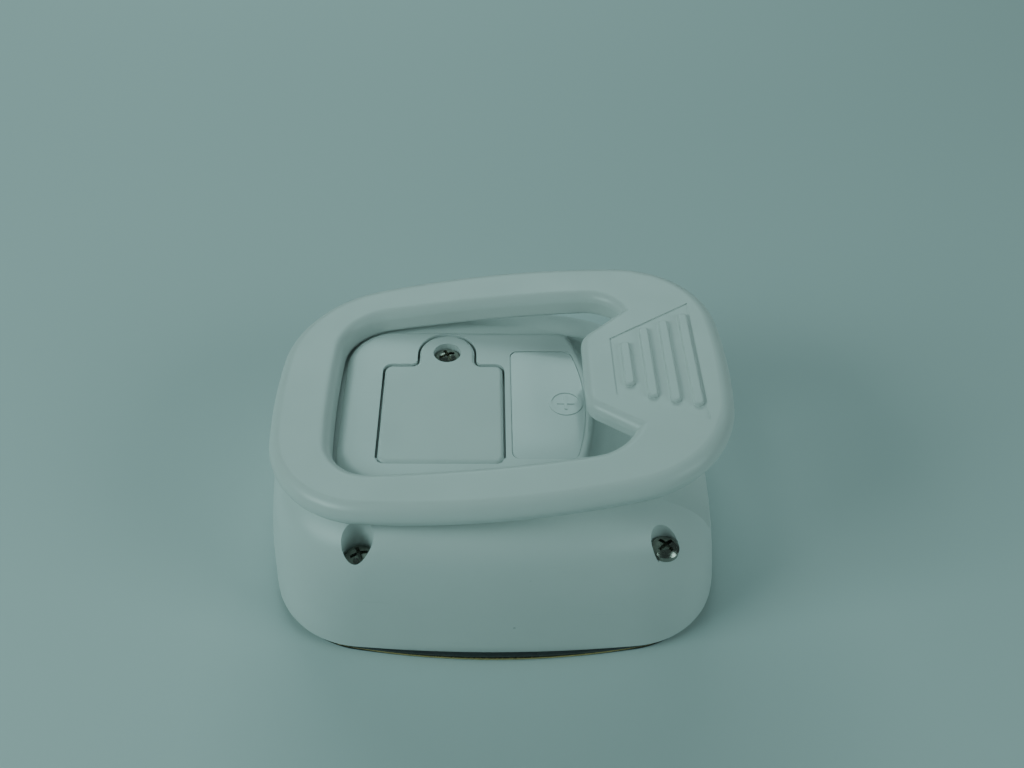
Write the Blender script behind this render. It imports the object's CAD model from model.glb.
import math

import bpy
from mathutils import Matrix, Vector

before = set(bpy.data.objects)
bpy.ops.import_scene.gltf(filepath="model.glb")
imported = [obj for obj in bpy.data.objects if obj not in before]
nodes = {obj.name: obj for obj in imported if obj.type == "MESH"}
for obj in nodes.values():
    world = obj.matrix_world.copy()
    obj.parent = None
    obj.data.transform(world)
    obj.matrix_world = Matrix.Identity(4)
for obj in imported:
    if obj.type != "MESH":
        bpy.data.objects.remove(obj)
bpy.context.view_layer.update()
scene = bpy.context.scene

PLASTIC_IOR = 1.49
LAMP_COLOUR = (0.62, 1.0, 0.96)        # the cool cast of the room's lamps
BELOW_COLOUR = (0.85, 1.0, 0.98)
ROOM_COLOUR = (0.47, 0.72, 0.71, 1.0)
ROOM_STRENGTH = 0.12
FLOOR_SIZE = 3.2
FLOOR_LIGHT = (0.60, 0.67, 0.665)
FLOOR_SHADE = (0.565, 0.635, 0.635)
MARK_DARKNESS = 0.35                   # share of the colour left in a dark speck
HAIRLINE_DARKNESS = 0.6                # share of the colour left in a fine handling mark
HAIRLINE_SHARE = 0.25                  # fine marks against specks
CAMERA_LENS = 37.89
CAMERA_SENSOR = 36.0
CAMERA_PLACE = (-0.00301, -0.1387, 0.16871)
CAMERA_PITCH = 44.01                   # degrees below level
CAMERA_YAW = 2.28                      # degrees to the right
CAMERA_ROLL = -1.86

# ---- material building blocks ---------------------------------------------------------------


class Graph:
    """One node material around a Principled shader, built up call by call."""

    def __init__(self, name, colour, roughness, metallic=0.0):
        self.material = bpy.data.materials.new(name)
        self.material.use_nodes = True
        self.tree = self.material.node_tree
        self.shader = self.tree.nodes["Principled BSDF"]
        self.shader.inputs["Base Color"].default_value = (*colour, 1.0)
        self.shader.inputs["Roughness"].default_value = roughness
        self.shader.inputs["Metallic"].default_value = metallic
        self.material.diffuse_color = (*colour, 1.0)
        place = self.tree.nodes.new("ShaderNodeTexCoord")
        self.place = place.outputs["Object"]
        self.height = None

    def set(self, socket, value):
        self.shader.inputs[socket].default_value = value

    def link(self, source, target):
        self.tree.links.new(source, target)

    def stretched(self, scale):
        """Object coordinates with each axis scaled, for brushed or moulded directions."""
        mapping = self.tree.nodes.new("ShaderNodeMapping")
        mapping.inputs["Scale"].default_value = scale
        self.link(self.place, mapping.inputs["Vector"])
        return mapping.outputs["Vector"]

    def noise(self, scale, detail=3.0, rough=0.55, vector=None):
        node = self.tree.nodes.new("ShaderNodeTexNoise")
        node.inputs["Scale"].default_value = scale
        node.inputs["Detail"].default_value = detail
        node.inputs["Roughness"].default_value = rough
        self.link(vector or self.place, node.inputs["Vector"])
        return node.outputs["Fac"]

    def voronoi(self, scale, feature="F1"):
        node = self.tree.nodes.new("ShaderNodeTexVoronoi")
        node.feature = feature
        node.inputs["Scale"].default_value = scale
        self.link(self.place, node.inputs["Vector"])
        return node.outputs["Distance"]

    def ramp(self, source, low, high, dark=0.0, light=1.0):
        """Map low..high to dark..light, clamped."""
        node = self.tree.nodes.new("ShaderNodeMapRange")
        node.inputs["From Min"].default_value = low
        node.inputs["From Max"].default_value = high
        node.inputs["To Min"].default_value = dark
        node.inputs["To Max"].default_value = light
        self.link(source, node.inputs["Value"])
        return node.outputs["Result"]

    def math(self, kind, first, second):
        node = self.tree.nodes.new("ShaderNodeMath")
        node.operation = kind
        for index, value in enumerate((first, second)):
            if isinstance(value, (int, float)):
                node.inputs[index].default_value = value
            else:
                self.link(value, node.inputs[index])
        return node.outputs["Value"]

    def tint(self, factor, first, second):
        """Base colour between two colours, either of which may be another node's output."""
        node = self.tree.nodes.new("ShaderNodeMix")
        node.data_type = "RGBA"
        self.link(factor, node.inputs["Factor"])
        sockets = [s for s in node.inputs if s.type == "RGBA"]
        for socket, value in zip(sockets, (first, second)):
            if isinstance(value, tuple):
                socket.default_value = (*value, 1.0)
            else:
                self.link(value, socket)
        result = [s for s in node.outputs if s.type == "RGBA"][0]
        self.link(result, self.shader.inputs["Base Color"])
        return result

    def rough(self, factor, low, high):
        """Roughness that wanders between low and high."""
        self.link(self.ramp(factor, 0.25, 0.75, low, high), self.shader.inputs["Roughness"])

    def bump(self, source, strength, distance):
        """Add one layer of relief on top of the layers already there."""
        node = self.tree.nodes.new("ShaderNodeBump")
        node.inputs["Strength"].default_value = strength
        node.inputs["Distance"].default_value = distance
        self.link(source, node.inputs["Height"])
        if self.height is not None:
            self.link(self.height, node.inputs["Normal"])
        self.height = node.outputs["Normal"]
        self.link(self.height, self.shader.inputs["Normal"])


def moulded(name, colour, roughness, grain=2600.0, depth=0.00002, marks=0.0, spread=0.035):
    """Injection-moulded plastic: fine grain, slight flow tint, faint handling marks."""
    g = Graph(name, colour, roughness)
    flow = g.noise(38.0, 4.0, 0.6)
    shade = tuple(c * (1.0 - spread) for c in colour)
    mixed = g.tint(g.ramp(flow, 0.35, 0.7), colour, shade)
    if marks:
        specks = g.voronoi(150.0)
        spots = g.noise(90.0, 2.0)
        rare = g.math("MULTIPLY", g.ramp(specks, 0.05, 0.02), g.ramp(spots, 0.6, 0.68))
        speck_colour = tuple(c * MARK_DARKNESS for c in colour)
        mixed = g.tint(g.math("MULTIPLY", rare, marks), mixed, speck_colour)
        hair = g.noise(60.0, 2.0, 0.5, g.stretched((1.0, 9.0, 26.0)))
        fine = g.math("MULTIPLY", g.ramp(hair, 0.715, 0.75), marks * HAIRLINE_SHARE)
        g.tint(fine, mixed, tuple(c * HAIRLINE_DARKNESS for c in colour))
    g.rough(g.noise(75.0, 5.0), roughness - 0.05, roughness + 0.07)
    g.bump(g.noise(grain, 2.0, 0.6), 0.35, depth)
    g.bump(g.noise(55.0, 2.0), 0.08, 0.0003)
    g.set("IOR", PLASTIC_IOR)
    return g


def metal(name, colour, roughness, brush=(1.0, 1.0, 1.0), scale=900.0, depth=0.00001, dull=0.25):
    """Brushed or drawn metal with a grain along one axis and duller patches."""
    g = Graph(name, colour, roughness, 1.0)
    grain = g.noise(scale, 4.0, 0.6, g.stretched(brush))
    tone = g.noise(120.0, 4.0)
    g.tint(g.ramp(tone, 0.35, 0.75), colour, tuple(c * (1.0 - dull) for c in colour))
    g.rough(grain, max(0.05, roughness - 0.1), roughness + 0.12)
    g.bump(grain, 0.25, depth)
    return g


def use(graph, *names):
    """Give one material to the named nodes."""
    for name in names:
        mesh = nodes[name].data
        mesh.materials.clear()
        mesh.materials.append(graph.material)
        for face in mesh.polygons:
            face.material_index = 0


# ---- outside -----------------------------------------------------------------------------------

use(moulded("case_white", (0.72, 0.75, 0.735), 0.36, marks=0.5), "rear_case")
use(moulded("clip_white", (0.70, 0.72, 0.70), 0.36, grain=2200.0, marks=0.15), "clip_loop")
use(moulded("door_white", (0.69, 0.715, 0.70), 0.42, grain=3200.0, depth=0.00003), "battery_door")
gloss = moulded("label_gloss", (0.655, 0.69, 0.68), 0.2, grain=900.0, depth=0.000004)
gloss.set("Coat Weight", 0.5)
gloss.set("Coat Roughness", 0.08)
use(gloss, "label_panel")
dark = moulded("cover_dark", (0.028, 0.030, 0.033), 0.26, grain=1800.0, depth=0.000006, spread=0.2)
dark.set("Coat Weight", 0.3)
dark.set("Coat Roughness", 0.1)
use(dark, "front_cover")
use(metal("trim_gold", (0.78, 0.56, 0.24), 0.24, (1.0, 1.0, 6.0), 700.0), "trim_ring")
use(moulded("button_grey", (0.30, 0.32, 0.33), 0.40, grain=1600.0, depth=0.00004, spread=0.12),
    "push_button")
clear = Graph("window_clear", (0.93, 0.95, 0.96), 0.12)
clear.set("Transmission Weight", 0.9)
clear.set("IOR", PLASTIC_IOR)
clear.bump(clear.noise(420.0, 2.0), 0.15, 0.00003)
clear.rough(clear.noise(260.0, 3.0), 0.08, 0.22)
use(clear, "led_window")
use(metal("screw_steel", (0.44, 0.43, 0.38), 0.22, (1.0, 1.0, 5.0), 1500.0, 0.00002, 0.45),
    "case_screws", "door_screw", "board_screws")
use(metal("spring_steel", (0.60, 0.60, 0.59), 0.22, (1.0, 12.0, 1.0), 1100.0), "torsion_spring", "hinge_pin")

# ---- inside --------------------------------------------------------------------------------------

use(metal("contact_nickel", (0.74, 0.71, 0.65), 0.2, (1.0, 1.0, 5.0), 900.0), "contact_negative",
    "contact_positive")
use(metal("cell_steel", (0.66, 0.66, 0.65), 0.27, (9.0, 1.0, 1.0), 1300.0), "coin_cell")
foam = Graph("foam_black", (0.035, 0.035, 0.036), 0.95)
foam.bump(foam.voronoi(2600.0), 0.9, 0.0003)
foam.tint(foam.noise(700.0), (0.03, 0.03, 0.031), (0.06, 0.06, 0.062))
use(foam, "door_pad")
use(moulded("tray_black", (0.035, 0.035, 0.037), 0.45, grain=1800.0, depth=0.00003, spread=0.3),
    "battery_tray")
use(moulded("ring_grey", (0.08, 0.08, 0.085), 0.4, grain=1500.0, spread=0.25), "sounder_ring")
mask = Graph("board_green", (0.012, 0.13, 0.05), 0.28)
tracks = mask.ramp(mask.voronoi(260.0, "DISTANCE_TO_EDGE"), 0.03, 0.06)
mask.tint(tracks, (0.03, 0.24, 0.1), (0.012, 0.13, 0.05))
mask.bump(tracks, 0.3, 0.00003)
mask.set("Coat Weight", 0.3)
use(mask, "circuit_board")
use(moulded("chip_black", (0.02, 0.02, 0.021), 0.5, grain=2400.0, spread=0.25), "controller_chip")
parts_brown = Graph("part_brown", (0.30, 0.21, 0.13), 0.4)
brown_patches = parts_brown.ramp(parts_brown.noise(500.0), 0.4, 0.6)
parts_brown.tint(brown_patches, (0.30, 0.21, 0.13), (0.22, 0.16, 0.11))
parts_brown.bump(parts_brown.noise(1800.0), 0.3, 0.00002)
use(parts_brown, "board_resistors")
use(metal("can_aluminium", (0.75, 0.75, 0.76), 0.24, (1.0, 1.0, 7.0), 1200.0), "board_capacitor")
use(moulded("coil_ferrite", (0.05, 0.05, 0.052), 0.6, grain=1400.0, depth=0.00006, spread=0.3),
    "drive_coil")
use(metal("switch_metal", (0.58, 0.58, 0.58), 0.3, (6.0, 1.0, 1.0), 900.0), "tact_switch")
lamp = Graph("led_red", (0.62, 0.03, 0.025), 0.18)
lamp.set("Transmission Weight", 0.55)
lamp.tint(lamp.noise(300.0), (0.62, 0.03, 0.025), (0.48, 0.02, 0.02))
lamp.bump(lamp.noise(500.0), 0.1, 0.00002)
use(lamp, "led")
use(metal("disc_brass", (0.76, 0.60, 0.30), 0.3, (1.0, 7.0, 1.0), 800.0), "sounder_disc")

# ---- floor ------------------------------------------------------------------------------------------

bpy.ops.mesh.primitive_plane_add(size=FLOOR_SIZE, location=(0, 0.3, 0))
floor = bpy.context.object
floor.name = "floor"
paper = Graph("floor_paper", FLOOR_LIGHT, 0.75)
paper.tint(paper.ramp(paper.noise(2.2, 3.0), 0.3, 0.7), FLOOR_LIGHT, FLOOR_SHADE)
paper.bump(paper.noise(420.0, 4.0), 0.08, 0.0002)
floor.data.materials.append(paper.material)

# ---- light --------------------------------------------------------------------------------------------


def area(name, place, target, size, power, colour):
    """Soft rectangular lamp at place, facing target."""
    data = bpy.data.lights.new(name, "AREA")
    data.shape = "RECTANGLE"
    data.size = size[0]
    data.size_y = size[1]
    data.energy = power
    data.color = colour
    lamp_object = bpy.data.objects.new(name, data)
    scene.collection.objects.link(lamp_object)
    lamp_object.location = place
    toward = Vector(target) - Vector(place)
    lamp_object.rotation_euler = toward.to_track_quat("-Z", "Y").to_euler()


middle = (0.0, 0.0, 0.015)
area("left_soft", (-0.40, -0.17, 0.29), middle, (0.22, 0.22), 1.0, LAMP_COLOUR)
area("right_soft", (0.38, -0.19, 0.27), middle, (0.22, 0.22), 0.5, LAMP_COLOUR)
area("top_soft", (-0.10, 0.58, 0.46), (-0.06, 0.40, 0.0), (0.5, 0.35), 1.5, LAMP_COLOUR)
area("below_soft", (0.18, -0.30, -0.45), middle, (0.6, 0.6), 5.0, BELOW_COLOUR)
area("below_fill", (-0.35, 0.20, -0.35), middle, (0.5, 0.5), 2.5, BELOW_COLOUR)

world = bpy.data.worlds.new("room")
world.use_nodes = True
background = world.node_tree.nodes["Background"]
background.inputs["Color"].default_value = ROOM_COLOUR
background.inputs["Strength"].default_value = ROOM_STRENGTH
scene.world = world

# ---- camera ---------------------------------------------------------------------------------------------

pitch = math.radians(CAMERA_PITCH)
yaw = math.radians(CAMERA_YAW)
roll = math.radians(CAMERA_ROLL)
ahead = Vector((math.sin(yaw) * math.cos(pitch), math.cos(yaw) * math.cos(pitch), -math.sin(pitch)))
level = Vector((math.cos(yaw), -math.sin(yaw), 0.0))
down = ahead.cross(level)
right = math.cos(roll) * level + math.sin(roll) * down
below = -math.sin(roll) * level + math.cos(roll) * down
camera_data = bpy.data.cameras.new("camera")
camera_data.sensor_width = CAMERA_SENSOR
camera_data.lens = CAMERA_LENS
camera = bpy.data.objects.new("camera", camera_data)
scene.collection.objects.link(camera)
turn = Matrix((right, -below, -ahead)).transposed().to_4x4()
camera.matrix_world = Matrix.Translation(Vector(CAMERA_PLACE)) @ turn
scene.camera = camera
